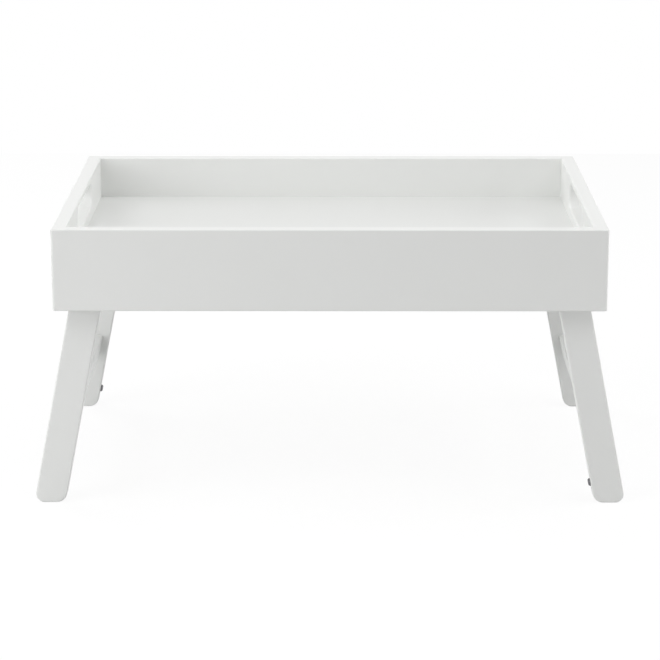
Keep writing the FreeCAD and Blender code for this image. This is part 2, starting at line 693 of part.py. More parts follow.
def catch_screw(side_name):
    """The pan-head screw in the inner edge of one leg, with a cross recess."""
    side = SIDES[side_name]
    body = new_body(f"{side_name}_catch_screw")
    profile = new_sketch(body, "profile", "XZ_Plane", f"{side} * Layout.leg_middle_y")
    bind(profile, {"AttachmentOffset.Base.y": "-Layout.catch_distance"})
    edge = f"{-side} * Sizes.leg_width / 2"
    head_top = f"{-side} * (Sizes.leg_width / 2 + Sizes.catch_head_height)"
    shank_end = f"{-side} * (Sizes.leg_width / 2 - Sizes.catch_shank_length)"
    head = "Sizes.catch_head_diameter / 2"
    shank = "Sizes.catch_shank_diameter / 2"
    steps = [(head_top, "0"), (head_top, head), (edge, head)]
    steps += [(edge, shank), (shank_end, shank), (shank_end, "0")]
    draw_polygon(profile, steps)
    revolve(body, "shank", profile, "H_Axis")
    top = number("Sizes.leg_width / 2 + Sizes.catch_head_height") - FINE

    def is_head_rim(edge):
        """Whether an edge lies in the top of the screw's head."""
        return -side * edge.BoundBox.Center.x > top

    round_edges(body, "head_rounding", "Sizes.catch_head_rounding", is_head_rim)
    recess = new_sketch(body, "recess", "YZ_Plane", head_top)
    bind(recess, {"AttachmentOffset.Base.x": f"{-side} * Layout.leg_middle_y"})
    bind(recess, {"AttachmentOffset.Base.y": "-Layout.catch_distance"})
    far = "Sizes.recess_span / 2"
    near = "Sizes.recess_width / 2"
    quarter = [(far, near), (near, near), (near, far)]
    corners = []
    for sign_x, sign_y in ((1, 1), (-1, 1), (-1, -1), (1, -1)):
        steps = quarter if sign_x * sign_y > 0 else quarter[::-1]
        corners += [(f"{sign_x} * {x}", f"{sign_y} * {y}") for x, y in steps]
    draw_polygon(recess, corners)
    cut(body, "recess", recess, "Sizes.recess_depth", side > 0)
    place_in_frame(body, side)
    return body


# Assembly

def build():
    """Make every piece, in the order in which the table goes together."""
    walls = wall_ring()
    pieces = [long_board(end_name, walls) for end_name in ENDS]
    pieces += [end_board(side_name, walls) for side_name in SIDES]
    pieces += [floor_panel(), corner_dowels()]
    pieces += pivot_sets()
    pieces += [catch_magnet(side_name) for side_name in SIDES]
    for side_name in SIDES:
        pieces += [leg(side_name, end_name) for end_name in ENDS]
        pieces += [crossbar(side_name), crossbar_dowels(side_name)]
        pieces += [pivot_bushes(side_name), catch_screw(side_name)]
    doc.recompute()
    return pieces


def check(pieces):
    """Stop if anything failed to compute or a piece has no sound shape."""
    for item in doc.Objects:
        if {"Invalid", "Error"} & set(item.State):
            raise RuntimeError(f"{item.Name} failed: {item.State}")
    for piece in pieces:
        if piece.Shape.isNull() or not piece.Shape.isValid() or not piece.Shape.Solids:
            raise RuntimeError(f"{piece.Label} has no sound shape")


def write(pieces):
    """Write each piece to its own file and list it."""
    os.makedirs("parts", exist_ok=True)
    for piece in pieces:
        piece.Shape.exportStep(f"parts/{piece.Label}.step")
        print(f"{piece.Label}: {len(piece.Shape.Solids)} solids, {piece.Shape.Volume:.1f} mm3")


fill_sheet("Sizes", {name: str(value) for name, value in SIZES.items()})
fill_sheet("Layout", {name: f"={formula}" for name, formula in LAYOUT.items()})
all_pieces = build()
check(all_pieces)
write(all_pieces)
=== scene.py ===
"""Looks of the bed tray table: finishes, fine fittings, camera and studio.

Meshes are in metres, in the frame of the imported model: X along the tray, Y from its front
to its rear, Z up, and the ground at nought. Sizes of the wood and the fittings are in
millimetres and degrees, as on a maker's drawing, and those of the studio in metres.
"""

import json
import logging
import math
from collections.abc import Sequence
from dataclasses import dataclass
from enum import Enum
from functools import cache

import bpy
import numpy as np
from mathutils import Matrix, Vector


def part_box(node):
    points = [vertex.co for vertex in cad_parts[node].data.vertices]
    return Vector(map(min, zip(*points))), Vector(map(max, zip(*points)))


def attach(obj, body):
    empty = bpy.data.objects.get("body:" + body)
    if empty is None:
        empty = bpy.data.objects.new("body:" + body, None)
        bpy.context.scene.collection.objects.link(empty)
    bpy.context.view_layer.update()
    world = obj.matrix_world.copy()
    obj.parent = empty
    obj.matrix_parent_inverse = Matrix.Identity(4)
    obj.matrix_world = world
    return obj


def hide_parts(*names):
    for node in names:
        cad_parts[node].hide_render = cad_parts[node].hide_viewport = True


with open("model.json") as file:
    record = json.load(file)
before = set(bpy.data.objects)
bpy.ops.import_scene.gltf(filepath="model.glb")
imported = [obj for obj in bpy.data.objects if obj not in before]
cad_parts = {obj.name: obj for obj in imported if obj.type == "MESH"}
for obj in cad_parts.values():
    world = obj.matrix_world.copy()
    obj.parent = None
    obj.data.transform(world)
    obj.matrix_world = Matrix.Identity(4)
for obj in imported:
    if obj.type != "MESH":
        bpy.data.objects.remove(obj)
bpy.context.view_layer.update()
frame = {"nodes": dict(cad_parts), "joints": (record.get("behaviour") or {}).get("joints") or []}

log = logging.getLogger("bed_tray_table")

Point = tuple[float, float, float]
Colour = tuple[float, float, float, float]
Socket = bpy.types.NodeSocket

MM = 0.001
MICRON = 0.000001
FULL_TURN = 2.0 * math.pi
WHITE = (1.0, 1.0, 1.0, 1.0)
LEG_TILT = 11.2
UPRIGHT = 90.0
UP = (0.0, 0.0, 1.0)
COLUMNS = 72
HEXAGON_SIDES = 6
CROSS_ARMS = 4
NEARLY_NOUGHT = 0.000001
SHARP_EDGE = math.radians(38.0)
GOLDEN_TURN = 137.5

# The largest share of a side that the softening of one of its corners may take
SOFTENING_LIMIT = 0.45

# The rings of a recess: shares of the way from the rim over the face to its edge, shares of
# its depth down the wall, and shares of its outline on the floor. The last number is how
# much deeper the floor's middle is, as a share of the depth.
FACE_RINGS = (0.25, 0.5, 0.75, 0.94)
WALL_RINGS = (0.04, 0.35, 0.7, 0.97)
FLOOR_RINGS = (0.9, 0.5, 0.1)
FLOOR_FALL = 0.15


class Direction(Enum):
    """A direction that the model's nodes are named by."""

    @property
    def word(self) -> str:
        """The direction's name, as the nodes have it."""
        return self.name.lower()


class Side(Direction):
    """The two ends of the tray, by the sign of X."""

    LEFT = -1
    RIGHT = 1

    @property
    def leg_frame(self) -> str:
        """The body that turns on this side's pivots."""
        return f"{self.word}_leg_frame"


class End(Direction):
    """The front and the rear of the tray, by the sign of Y."""

    FRONT = -1
    REAR = 1


class Grain(Enum):
    """Which way a piece of wood was cut, as turns about Z and Y that bring its grain to X."""

    ALONG_TRAY = (0.0, 0.0)
    ACROSS_TRAY = (UPRIGHT, 0.0)
    DOWN_LEFT_LEG = (0.0, UPRIGHT - LEG_TILT)
    DOWN_RIGHT_LEG = (0.0, UPRIGHT + LEG_TILT)


# Shader nodes


class Shader:
    """The node tree of one new material or world."""

    def __init__(
        self,
        holder: bpy.types.Material | bpy.types.World,
        output: str = "ShaderNodeOutputMaterial",
    ) -> None:
        """Start with nothing but the output.

        Args:
            holder: The material or world that the tree belongs to.
            output: The type of its output node.
        """
        self.holder = holder
        holder.use_nodes = True
        self.tree = holder.node_tree
        self.tree.nodes.clear()
        self.output = self.add(output)

    def add(self, kind: str, **inputs: object) -> bpy.types.Node:
        """Add a node and set or link its inputs.

        Args:
            kind: The node's type.
            inputs: Values or sockets by input name, with underscores for spaces.

        Returns:
            The new node.
        """
        node = self.tree.nodes.new(kind)
        for name, value in inputs.items():
            self.feed(node.inputs[name.replace("_", " ")], value)
        return node

    def feed(self, socket: Socket, value: object) -> None:
        """Give a socket a value, or a link where the value is a socket itself.

        Args:
            socket: The input to feed.
            value: A number, a colour, a vector or another node's output.
        """
        if isinstance(value, Socket):
            self.tree.links.new(value, socket)
        else:
            socket.default_value = value

    def math(self, operation: str, first: object, second: object) -> Socket:
        """Join two numbers by a Math node.

        Args:
            operation: The node's operation.
            first: A number or an output.
            second: A number or an output.

        Returns:
            The result's output.
        """
        node = self.add("ShaderNodeMath")
        node.operation = operation
        self.feed(node.inputs[0], first)
        self.feed(node.inputs[1], second)
        return node.outputs["Value"]

    def spread(self, value: Socket, middle: float, reach: float) -> Socket:
        """Map a value from nought to one onto a range.

        Args:
            value: The output to map.
            middle: The middle of the range.
            reach: How far it goes to either side.

        Returns:
            The mapped value's output.
        """
        ends = {"To_Min": middle - reach, "To_Max": middle + reach}
        return self.add("ShaderNodeMapRange", Value=value, **ends).outputs["Result"]

    def blend(self, share: Socket, first: Colour, second: Colour) -> Socket:
        """Mix two colours.

        Args:
            share: How much of the second one, from nought to one.
            first: The one colour.
            second: The other colour.

        Returns:
            The mixed colour's output.
        """
        mix = self.add("ShaderNodeMix")
        mix.data_type = "RGBA"
        inputs = {socket.identifier: socket for socket in mix.inputs}
        self.feed(inputs["Factor_Float"], share)
        self.feed(inputs["A_Color"], first)
        self.feed(inputs["B_Color"], second)
        return next(socket for socket in mix.outputs if socket.identifier == "Result_Color")

    def coordinates(self, grain: Grain | None = None, stretch: float = 1.0) -> Socket:
        """Object coordinates, drawn out along a grain.

        Args:
            grain: The way the wood was cut, or none for plain coordinates.
            stretch: The factor along the grain, small for long streaks.

        Returns:
            The coordinates' output.
        """
        plain = self.add("ShaderNodeTexCoord").outputs["Object"]
        if grain is None:
            return plain
        about_z, about_y = (math.radians(angle) for angle in grain.value)
        turned = self.add("ShaderNodeMapping", Vector=plain, Rotation=(0.0, about_y, about_z))
        drawn = self.add("ShaderNodeMapping", Vector=turned.outputs[0], Scale=(stretch, 1.0, 1.0))
        return drawn.outputs[0]

    def noise(self, vector: Socket, per_metre: float, detail: float = 2.0) -> Socket:
        """Noise of about so many lumps to the metre, from nought to one.

        Args:
            vector: The coordinates.
            per_metre: Lumps to the metre.
            detail: How many finer octaves lie on top.

        Returns:
            The noise's output.
        """
        node = self.add("ShaderNodeTexNoise", Vector=vector, Scale=per_metre, Detail=detail)
        return node.outputs["Fac"]

    def relief(self, height: Socket, depth: float, below: Socket | None = None) -> Socket:
        """Relief of a depth in metres, on top of any other relief.

        Args:
            height: The height, from nought to one.
            depth: What a height of one stands for.
            below: The relief underneath.

        Returns:
            The normal's output.
        """
        node = self.add("ShaderNodeBump", Height=height, Distance=depth)
        if below:
            self.feed(node.inputs["Normal"], below)
        return node.outputs["Normal"]

    def shown(self) -> Socket:
        """Whether a ray sees the thing itself or only brings light from it.

        Returns:
            One for a ray from the camera, off a mirror or through glass, and else nought.
        """
        path = self.add("ShaderNodeLightPath").outputs
        mirrored = self.math("MAXIMUM", path["Is Camera Ray"], path["Is Glossy Ray"])
        return self.math("MAXIMUM", mirrored, path["Is Transmission Ray"])

    def switch(self, share: Socket, plain: bpy.types.Node, seen: bpy.types.Node) -> bpy.types.Node:
        """Mix two shaders.

        Args:
            share: How much of the second one.
            plain: The first shader.
            seen: The second shader.

        Returns:
            The node that mixes them.
        """
        mix = self.add("ShaderNodeMixShader", Fac=share)
        _, first, second = mix.inputs
        self.feed(first, plain.outputs[0])
        self.feed(second, seen.outputs[0])
        return mix

    def finish(self, surface: bpy.types.Node) -> bpy.types.Material | bpy.types.World:
        """Link the last shader to the output and return the material or world."""
        self.feed(self.output.inputs["Surface"], surface.outputs[0])
        return self.holder

    def finish_solid(self, **inputs: object) -> bpy.types.Material:
        """End with the shader of a solid thing, whose inputs are named as in add."""
        return self.finish(self.add("ShaderNodeBsdfPrincipled", **inputs))


# Finishes


@dataclass(frozen=True)
class Lacquer:
    """White sprayed lacquer on wood: a soft gloss with faint orange peel and grain."""

    name: str
    grain: Grain | None = None
    colour: Colour = (0.835, 0.842, 0.828, 1.0)
    shade: Colour = (0.82, 0.828, 0.813, 1.0)
    roughness: float = 0.34
    roughness_reach: float = 0.04
    wave_per_metre: float = 14.0
    wave_depth: float = 60 * MICRON
    grain_per_metre: float = 900.0
    grain_stretch: float = 0.03
    grain_depth: float = 7 * MICRON
    peel_per_metre: float = 420.0
    peel_depth: float = 9 * MICRON

    def material(self) -> bpy.types.Material:
        """Make the material: broad waves, the grain where there is one, and fine peel.

        Returns:
            The lacquer.
        """
        shader = Shader(bpy.data.materials.new(self.name))
        plain = shader.coordinates()
        clouds = shader.noise(plain, self.wave_per_metre)
        relief = shader.relief(clouds, self.wave_depth)
        if self.grain:
            along = shader.coordinates(self.grain, self.grain_stretch)
            streaks = shader.noise(along, self.grain_per_metre)
            relief = shader.relief(streaks, self.grain_depth, relief)
        peel = shader.noise(plain, self.peel_per_metre)
        relief = shader.relief(peel, self.peel_depth, relief)
        return shader.finish_solid(
            Base_Color=shader.blend(clouds, self.shade, self.colour),
            Roughness=shader.spread(clouds, self.roughness, self.roughness_reach),
            Normal=relief,
        )


@dataclass(frozen=True)
class Metal:
    """Plated, burnished or turned metal with fine blotches in its polish."""

    name: str
    slot: str
    colour: Colour
    stain: Colour
    roughness: float
    roughness_reach: float = 0.08
    blotch_per_metre: float = 700.0
    blotch_detail: float = 4.0
    scratch_per_metre: float = 6000.0
    scratch_depth: float = 2 * MICRON

    def material(self) -> bpy.types.Material:
        """Make the material, blotched on the scale of its plating's crystals.

        Returns:
            The metal.
        """
        shader = Shader(bpy.data.materials.new(self.name))
        plain = shader.coordinates()
        blotches = shader.noise(plain, self.blotch_per_metre, self.blotch_detail)
        scratches = shader.noise(plain, self.scratch_per_metre)
        return shader.finish_solid(
            Base_Color=shader.blend(blotches, self.stain, self.colour),
            Metallic=1.0,
            Roughness=shader.spread(blotches, self.roughness, self.roughness_reach),
            Normal=shader.relief(scratches, self.scratch_depth),
        )


@dataclass(frozen=True)
class Plastic:
    """Moulded plastic that lets a little light in, with a fine even grain."""

    name: str
    slot: str
    colour: Colour
    tint: Colour
    roughness: float = 0.45
    roughness_reach: float = 0.06
    glow: float = 0.15
    texture_per_metre: float = 2500.0
    texture_depth: float = 8 * MICRON

    def material(self) -> bpy.types.Material:
        """Make the material.

        Returns:
            The plastic.
        """
        shader = Shader(bpy.data.materials.new(self.name))
        texture = shader.noise(shader.coordinates(), self.texture_per_metre)
        return shader.finish_solid(
            Base_Color=shader.blend(texture, self.tint, self.colour),
            Roughness=shader.spread(texture, self.roughness, self.roughness_reach),
            Normal=shader.relief(texture, self.texture_depth),
            Subsurface_Weight=self.glow,
        )


@dataclass(frozen=True)
class RawWood:
    """Unfinished wood with fine dark flecks along a dowel."""

    name: str
    slot: str
    colour: Colour = (0.50, 0.31, 0.16, 1.0)
    fleck: Colour = (0.32, 0.17, 0.08, 1.0)
    fleck_per_metre: float = 1500.0
    fleck_stretch: float = 0.08
    fleck_detail: float = 3.0
    roughness: float = 0.7
    roughness_reach: float = 0.08
    depth: float = 20 * MICRON

    def material(self) -> bpy.types.Material:
        """Make the material, its flecks drawn out across the tray, as the dowels lie.

        Returns:
            The wood.
        """
        shader = Shader(bpy.data.materials.new(self.name))
        along = shader.coordinates(Grain.ACROSS_TRAY, self.fleck_stretch)
        flecks = shader.noise(along, self.fleck_per_metre, self.fleck_detail)
        return shader.finish_solid(
            Base_Color=shader.blend(flecks, self.fleck, self.colour),
            Roughness=shader.spread(flecks, self.roughness, self.roughness_reach),
            Normal=shader.relief(flecks, self.depth),
        )


FittingFinish = Metal | Plastic | RawWood
Finish = Lacquer | FittingFinish

LONG_BOARD_LACQUER = Lacquer("lacquer_long_boards", Grain.ALONG_TRAY)
END_BOARD_LACQUER = Lacquer("lacquer_end_boards", Grain.ACROSS_TRAY)
PANEL_LACQUER = Lacquer(
    "lacquer_panel",
    colour=(0.776, 0.783, 0.770, 1.0),
    shade=(0.763, 0.770, 0.756, 1.0),
)
CROSSBAR_LACQUER = Lacquer("lacquer_crossbars", Grain.ACROSS_TRAY)
LEG_LACQUERS = {
    Side.LEFT: Lacquer("lacquer_left_legs", Grain.DOWN_LEFT_LEG),
    Side.RIGHT: Lacquer("lacquer_right_legs", Grain.DOWN_RIGHT_LEG),
}
ZINC = Metal("zinc_plate", "steel", (0.66, 0.67, 0.69, 1.0), (0.52, 0.53, 0.56, 1.0), 0.32)
BURNISHED = Metal(
    "burnished_steel", "dark_steel", (0.20, 0.20, 0.21, 1.0), (0.13, 0.13, 0.135, 1.0), 0.42
)
NICKEL = Metal("nickel_plate", "nickel", (0.68, 0.66, 0.62, 1.0), (0.6, 0.58, 0.54, 1.0), 0.2, 0.05)
BRASS = Metal("turned_brass", "brass", (0.75, 0.53, 0.22, 1.0), (0.62, 0.42, 0.16, 1.0), 0.3)
NYLON = Plastic("white_nylon", "nylon", (0.74, 0.74, 0.70, 1.0), (0.68, 0.68, 0.64, 1.0))
BEECH = RawWood("raw_beech", "beech")


@cache
def material_of(finish: Finish) -> bpy.types.Material:
    """The one material of a finish."""
    return finish.material()


def dress(node: str, finish: Finish) -> None:
    """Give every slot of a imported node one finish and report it.

    Args:
        node: The node's name.
        finish: What it is finished with.
    """
    for slot in frame["nodes"][node].material_slots:
        slot.material = material_of(finish)
    log.info("%s: %s", node, finish.name)


# Turned surfaces, worked out round the Z axis in millimetres


@dataclass(frozen=True)
class Skin:
    """The points, four-sided faces and end fans of one closed surface."""

    points: np.ndarray
    quads: np.ndarray
    fans: np.ndarray


@dataclass(frozen=True)
class Spot:
    """Where a fitting sits: its origin, the way its Z axis points and its turn about it."""

    origin: Point
    axis: Point
    turn: float = 0.0

    def matrix(self) -> np.ndarray:
        """The rotation from the fitting's own axes to the model's."""
        facing = Vector(self.axis).to_track_quat("Z", "Y").to_matrix()
        return np.array(facing @ Matrix.Rotation(math.radians(self.turn), 3, "Z"))


def column_angles() -> np.ndarray:
    """The angles of a surface's columns, in equal steps round the axis."""
    return np.linspace(0.0, FULL_TURN, COLUMNS, endpoint=False)


def softened(corners: np.ndarray, reach: float, looped: bool = False, steps: int = 4) -> np.ndarray:
    """Soften the corners of a profile.

    A corner C between the points A and B, a reach away on either side of it, becomes the
    parabola (1 - t)^2 A + 2 t (1 - t) C + t^2 B, with t from nought to one.

    Args:
        corners: One row for each corner, radius then height.
        reach: How far the softening reaches along each side.
        looped: Whether the last corner joins the first. Otherwise these two stay sharp.
        steps: How many parts the parabola has.

    Returns:
        The softened profile, one row for each point.
    """
    line = np.vstack([corners[-1:], corners, corners[:1]]) if looped else corners
    middle = line[1:-1]

    def towards(neighbour: np.ndarray) -> np.ndarray:
        """The points a reach away on the sides that lead to the neighbouring corners.

        Args:
            neighbour: The corner next to each one.

        Returns:
            One point for each corner.
        """
        side = neighbour - middle
        length = np.linalg.norm(side, axis=1, keepdims=True)
        return middle + side * np.minimum(reach / length, SOFTENING_LIMIT)

    a, b, c = (part[:, None] for part in (towards(line[:-2]), towards(line[2:]), middle))
    t = np.linspace(0.0, 1.0, steps + 1)[None, :, None]
    arcs = ((1 - t) ** 2 * a + 2 * t * (1 - t) * c + t**2 * b).reshape(-1, 2)
    return arcs if looped else np.vstack([corners[:1], arcs, corners[-1:]])


def divided(profile: np.ndarray, step: float) -> np.ndarray:
    """Divide each straight run of a profile into equal parts no longer than a step.

    Args:
        profile: One row for each point.
        step: The longest part allowed.

    Returns:
        The profile with the new points in their order.
    """
    runs = np.diff(profile, axis=0)
    counts = np.ceil(np.linalg.norm(runs, axis=1) / step).astype(int)
    first = np.repeat(np.cumsum(counts) - counts, counts)
    share = (np.arange(counts.sum()) - first) / np.repeat(counts, counts)
    starts = np.repeat(profile[:-1], counts, axis=0)
    parts = starts + share[:, None] * np.repeat(runs, counts, axis=0)
    return np.vstack([parts, profile[-1:]])


def screw_groove(height: np.ndarray, pitch: float) -> np.ndarray:
    """How deep a right-hand thread is cut, from nought at its crest to one at its root.

    With p as the height over the pitch less the share of a turn, it is twice the distance
    from p to the nearest whole number.

    Args:
        height: One row for each ring.
        pitch: The rise in one turn.

    Returns:
        One value for each ring and column.
    """
    phase = height / pitch - column_angles() / FULL_TURN
    return 2.0 * np.abs(phase - np.round(phase))


def gate(height: np.ndarray, low: float, high: float, run: float) -> np.ndarray:
    """One between two heights and nought outside them, rising and falling over a run.

    Args:
        height: Where it is wanted.
        low: Where it starts to rise.
        high: Where it has fallen to nought.
        run: The height that it takes to rise or fall.

    Returns:
        The value at each height.
    """
    return np.clip(np.minimum(height - low, high - height) / run, 0.0, 1.0)


def folded(angle: np.ndarray, part: float) -> np.ndarray:
    """The angle from the nearest whole multiple of a part of a turn."""
    return angle - part * np.round(angle / part)


def hexagon(width: float) -> np.ndarray:
    """A hexagon's radius in each column: half its width over the cosine of the folded angle."""
    return width / 2 / np.cos(folded(column_angles(), FULL_TURN / HEXAGON_SIDES))


def cross(span: float, width: float) -> np.ndarray:
    """A cross's radius in each column.

    With a as the angle from the nearest arm, it is the smaller of half the span over cos a
    and half the width over the size of sin a.

    Args:
        span: The length over two opposite arms.
        width: The width of an arm.

    Returns:
        One radius for each column.
    """
    angle = folded(column_angles(), FULL_TURN / CROSS_ARMS)
    side = np.maximum(np.abs(np.sin(angle)), NEARLY_NOUGHT)
    return np.minimum(span / 2 / np.cos(angle), width / 2 / side)


def sunk(
    outline: np.ndarray, rim: float, top: float, dome: float, depth: float, taper: float
) -> tuple[np.ndarray, np.ndarray]:
    """The rings of a domed head from its rim, over the edge of a recess, to its floor.

    On the face the radius goes in a straight line from the rim to the recess's outline and
    the height is the top less the dome times the squared share of the rim. Down the wall
    the outline shrinks by the taper, and on the floor to nought, a little deeper still.

    Args:
        outline: The recess's radius in each column.
        rim: The radius where the face begins.
        top: The height of the dome's middle.
        dome: How much lower the rim is.
        depth: The recess's depth.
        taper: The share of the outline that is left at the bottom.

    Returns:
        The radii and the heights, one row for each ring and one column for each angle.
    """
    inward, down, middle = (
        np.reshape(rings, (-1, 1)) for rings in (FACE_RINGS, WALL_RINGS, FLOOR_RINGS)
    )
    face_radius = rim + (outline - rim) * inward
    face_height = top - dome * (face_radius / rim) ** 2
    lip = top - dome * (outline / rim) ** 2
    wall_radius = outline * (1.0 - (1.0 - taper) * down)
    wall_height = lip - depth * down
    floor_radius = outline * taper * middle
    floor_height = lip.min() - depth * (1.0 + FLOOR_FALL * (1.0 - middle))
    floor_height = np.broadcast_to(floor_height, floor_radius.shape)
    radii = np.vstack([face_radius, wall_radius, floor_radius])
    return radii, np.vstack([face_height, wall_height, floor_height])


def skin_of(radius: np.ndarray, height: np.ndarray, looped: bool = False) -> Skin:
    """Close a surface round the Z axis.

    A point has x as its radius times the angle's cosine, y as its radius times the sine,
    and z as its height. Rings run upwards on the outside, so that the faces look outwards.

    Args:
        radius: One row for each ring and one column for each angle, or a single column.
        height: The same.
        looped: Whether the last ring joins the first, as in a ring with a bore. Otherwise
            the two end rings are closed by a fan to their middle.

    Returns:
        The closed surface.
    """
    angle = column_angles()
    radius, height, angle = np.broadcast_arrays(radius, height, angle)
    grid = np.stack([radius * np.cos(angle), radius * np.sin(angle), height], axis=-1)
    points = grid.reshape(-1, 3)
    index = np.arange(len(points)).reshape(radius.shape)
    beside = np.roll(index, -1, axis=1)
    if looped:
        above, across = np.roll(index, -1, axis=0), np.roll(beside, -1, axis=0)
        quads = np.stack([index, beside, across, above], axis=-1)
        return Skin(points, quads.reshape(-1, 4), np.empty((0, 3), int))
    quads = np.stack([index[:-1], beside[:-1], beside[1:], index[1:]], axis=-1)
    low_pole, high_pole = np.full((2, COLUMNS), len(points)) + [[0], [1]]
    low_fan = np.stack([low_pole, beside[0], index[0]], axis=-1)
    high_fan = np.stack([high_pole, index[-1], beside[-1]], axis=-1)
    poles = np.stack([grid[0].mean(axis=0), grid[-1].mean(axis=0)])
    return Skin(np.vstack([points, poles]), quads.reshape(-1, 4), np.vstack([low_fan, high_fan]))


def add_object(name: str, data: bpy.types.ID) -> bpy.types.Object:
    """Put a new object in the scene.

    Args:
        name: The object's name.
        data: Its mesh, lamp or camera.

    Returns:
        The object.
    """
    thing = bpy.data.objects.new(name, data)
    bpy.context.scene.collection.objects.link(thing)
    return thing


def fit(
    node: str, name: str, body: str, skin: Skin, spots: Sequence[Spot], finish: FittingFinish
) -> None:
    """Set copies of a surface in their spots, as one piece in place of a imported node.

    A point of the surface goes to the spot's origin plus its turned self.

    Args:
        node: The node that the piece stands for.
        name: The piece's name.
        body: The body that it moves with.
        skin: The surface of one fitting.
        spots: Where the fittings sit.
        finish: What they are finished with.
    """
    turns = np.array([spot.matrix() for spot in spots])
    origins = np.array([spot.origin for spot in spots])
    points = np.einsum("sij,pj->spi", turns, skin.points) + origins[:, None]
    starts = np.arange(len(spots))[:, None, None] * len(skin.points)
    quads = (skin.quads + starts).reshape(-1, 4)
    fans = (skin.fans + starts).reshape(-1, 3)
    mesh = bpy.data.meshes.new(name)
    mesh.from_pydata((points.reshape(-1, 3) * MM).tolist(), [], quads.tolist() + fans.tolist())
    mesh.shade_smooth()
    mesh.set_sharp_from_angle(angle=SHARP_EDGE)
    mesh.materials.append(material_of(finish))
    piece = add_object(name, mesh)
    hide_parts(node)
    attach(piece, body)
    log.info("%s: %d of them, %s", name, len(spots), finish.name)


# Fittings


@dataclass(frozen=True)
class PivotBolt:
    """A shoulder bolt: threaded end, plain shoulder and a low head with a hexagon socket."""

    thread_diameter: float = 6.0
    thread_length: float = 9.5
    thread_pitch: float = 1.0
    thread_depth: float = 0.5
    thread_chamfer: float = 0.7
    neck: float = 1.0
    shoulder_diameter: float = 8.0
    shoulder_length: float = 16.4
    head_diameter: float = 13.0
    head_height: float = 3.0
    head_rounding: float = 0.8
    dome: float = 0.15
    key_width: float = 4.0
    key_depth: float = 2.0
    key_taper: float = 0.98
    softening: float = 0.3
    ring_step: float = 0.17

    def skin(self) -> Skin:
        """Turn the shank and the head from the tip up, cut the thread and sink the socket.

        Returns:
            The bolt's surface, with nought at the shoulder's threaded end.
        """
        thread, shoulder = self.thread_diameter / 2, self.shoulder_diameter / 2
        head = self.head_diameter / 2
        core = thread - self.thread_depth
        under_head, top = self.shoulder_length, self.shoulder_length + self.head_height
        rim = head - self.head_rounding
        corners = np.array([
            (core - self.softening, -self.thread_length),
            (thread, self.thread_chamfer - self.thread_length),
            (thread, -self.neck),
            (core, -self.neck + self.thread_depth),
            (core, 0.0),
            (shoulder, 0.0),
            (shoulder, under_head),
            (head, under_head),
            (head, top - self.head_rounding),
            (rim, top - self.dome),
        ])
        profile = divided(softened(corners, self.softening), self.ring_step)
        radius, height = profile[:, :1], profile[:, 1:]
        cut = gate(height, -self.thread_length, -self.neck, self.thread_chamfer)
        radius = radius - self.thread_depth * cut * screw_groove(height, self.thread_pitch)
        socket = hexagon(self.key_width)
        radii, heights = sunk(socket, rim, top, self.dome, self.key_depth, self.key_taper)
        height = np.broadcast_to(height, radius.shape)
        return skin_of(np.vstack([radius, radii]), np.vstack([height, heights]))


@dataclass(frozen=True)
class CatchScrew:
    """A wood screw with a domed pan head and a cross recess."""

    shank_diameter: float = 3.5
    shank_length: float = 16.0
    tip_length: float = 3.5
    tip_radius: float = 0.15
    neck: float = 2.0
    thread_pitch: float = 1.3
    thread_depth: float = 0.5
    thread_run: float = 1.2
    head_diameter: float = 7.4
    head_height: float = 2.2
    head_side: float = 0.8
    face_radius: float = 2.7
    face_drop: float = 0.22
    recess_span: float = 4.0
    recess_arm_angle: float = 15.0
    recess_depth: float = 1.2
    recess_taper: float = 0.5
    softening: float = 0.45
    ring_step: float = 0.2

    def skin(self) -> Skin:
        """Turn the tip, the shank and the head, cut the thread and sink the recess.

        The arms are as wide as puts their corners at the arm angle, on a column.

        Returns:
            The screw's surface, with nought where its head meets the wood.
        """
        shank, head = self.shank_diameter / 2, self.head_diameter / 2
        corners = np.array([
            (self.tip_radius, -self.shank_length),
            (shank, self.tip_length - self.shank_length),
            (shank, 0.0),
            (head, 0.0),
            (head, self.head_side),
            (self.face_radius, self.head_height - self.face_drop),
        ])
        profile = divided(softened(corners, self.softening), self.ring_step)
        radius, height = profile[:, :1], profile[:, 1:]
        cut = gate(height, -self.shank_length, -self.neck, self.thread_run)
        depth = np.minimum(self.thread_depth, radius - self.tip_radius)
        radius = radius - depth * cut * screw_groove(height, self.thread_pitch)
        arm = self.recess_span * math.tan(math.radians(self.recess_arm_angle))
        radii, heights = sunk(
            cross(self.recess_span, arm),
            self.face_radius,
            self.head_height,
            self.face_drop,
            self.recess_depth,
            self.recess_taper,
        )
        height = np.broadcast_to(height, radius.shape)
        return skin_of(np.vstack([radius, radii]), np.vstack([height, heights]))


@dataclass(frozen=True)
class Dowel:
    """A fluted glue dowel with chamfered ends."""

    diameter: float
    length: float
    flutes: int = 18
    flute_depth: float = 0.22
    chamfer: float = 0.8
    softening: float = 0.25
    ring_step: float = 3.0

    def skin(self) -> Skin:
        """Turn the dowel and press in its flutes.

        A flute takes off its depth times half of one less the cosine of the flutes' number
        times the angle.

        Returns:
            The dowel's surface, from nought up to its length.
        """
        radius = self.diameter / 2
        corners = np.array([
            (radius - self.chamfer, 0.0),
            (radius, self.chamfer),
            (radius, self.length - self.chamfer),
            (radius - self.chamfer, self.length),
        ])
        profile = divided(softened(corners, self.softening), self.ring_step)
        height = profile[:, 1:]
        flute = (1.0 - np.cos(self.flutes * column_angles())) / 2
        pressed = self.flute_depth * gate(height, 0.0, self.length, self.chamfer) * flute
        return skin_of(profile[:, :1] - pressed, height)


